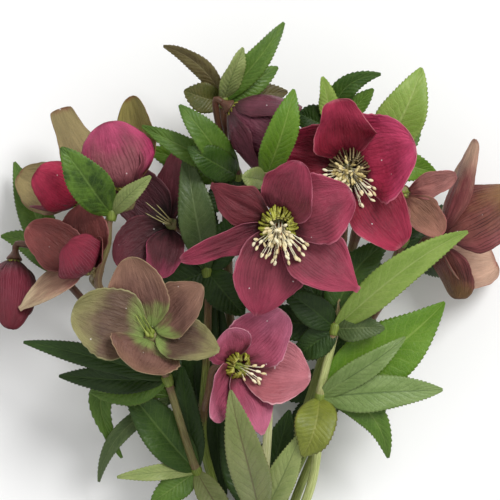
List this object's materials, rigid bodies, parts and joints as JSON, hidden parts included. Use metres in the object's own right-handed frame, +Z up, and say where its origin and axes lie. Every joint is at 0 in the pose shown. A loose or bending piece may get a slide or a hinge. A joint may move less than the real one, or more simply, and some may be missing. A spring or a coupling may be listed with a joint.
{
  "type": "cut hellebore flower bunch",
  "caption": "Banded bunch of cut hellebore stems lying flat, with open and nodding cup flowers and toothed, divided leaf-like bracts.",
  "frame": {"origin": "centre of the bunch's bounding box at the height of the surface that it lies on", "axes": "+Z up, away from the surface; +Y along the stems, from the cut ends to the flowers; +X to the right as the flowers are looked down on"},
  "size_m": [0.2741, 0.3996, 0.1196],
  "materials": {
    "wine_sepal": "soft satin, dusky wine with brighter magenta edges and fine veins",
    "crimson_sepal": "soft satin crimson, darker towards the throat, pale rim",
    "pink_sepal": "soft satin mauve pink with darker veins",
    "olive_sepal": "soft satin, pale olive edge, dusty pink inside, mint green throat",
    "maroon_sepal": "soft satin dark maroon purple",
    "rose_sepal": "soft satin dusty rose with dark veins",
    "brown_rose_sepal": "soft satin brown rose to olive",
    "dusky_sepal": "soft satin dusky purple",
    "stamens": "matt cream anthers, yellow green nectaries and carpels",
    "leaf": "leathery satin green with pale veins, some leaves lighter or olive",
    "stem": "satin pale green, flushed red brown at the joints",
    "band": "matt natural rubber"
  },
  "bodies": {
    "root": {"stem_olive": "stem", "stem_maroon": "stem", "stem_wine": "stem", "stem_crimson": "stem", "stem_tan": "stem", "stem_rose": "stem", "stem_drooping": "stem", "stem_dusky": "stem", "stem_right": "stem", "stem_low_right": "stem", "wine_flower_sepal_1": "wine_sepal", "wine_flower_sepal_2": "wine_sepal", "wine_flower_sepal_3": "wine_sepal", "wine_flower_sepal_4": "wine_sepal", "wine_flower_sepal_5": "wine_sepal", "wine_flower_sepal_6": "wine_sepal", "wine_flower_stamens": "stamens", "crimson_flower_sepal_1": "crimson_sepal", "crimson_flower_sepal_2": "crimson_sepal", "crimson_flower_sepal_3": "crimson_sepal", "crimson_flower_sepal_4": "crimson_sepal", "crimson_flower_sepal_5": "crimson_sepal", "crimson_flower_stamens": "stamens", "pink_flower_sepal_1": "pink_sepal", "pink_flower_sepal_2": "pink_sepal", "pink_flower_sepal_3": "pink_sepal", "pink_flower_sepal_4": "pink_sepal", "pink_flower_sepal_5": "pink_sepal", "pink_flower_stamens": "stamens", "olive_flower_sepal_1": "olive_sepal", "olive_flower_sepal_2": "olive_sepal", "olive_flower_sepal_3": "olive_sepal", "olive_flower_sepal_4": "olive_sepal", "olive_flower_sepal_5": "olive_sepal", "olive_flower_stamens": "stamens", "maroon_flower": "maroon_sepal", "veined_flower": "rose_sepal", "ruby_flower": "crimson_sepal", "rose_flower": "rose_sepal", "drooping_flower": "crimson_sepal", "tan_flower": "brown_rose_sepal", "dusty_flower": "rose_sepal", "dusky_flower": "dusky_sepal", "bract_top": "leaf", "bract_upper_left": "leaf", "bract_upper_right": "leaf", "bract_right_edge": "leaf", "bract_back_right": "leaf", "bract_centre": "leaf", "bract_left": "leaf", "bract_far_left": "leaf", "bract_inner_left": "leaf", "bract_olive": "leaf", "bract_low_left": "leaf", "bract_front_left": "leaf", "bract_front": "leaf", "bract_right": "leaf", "bract_front_right": "leaf", "bract_low_right": "leaf", "band": "band"}
  },
  "joints": []
}
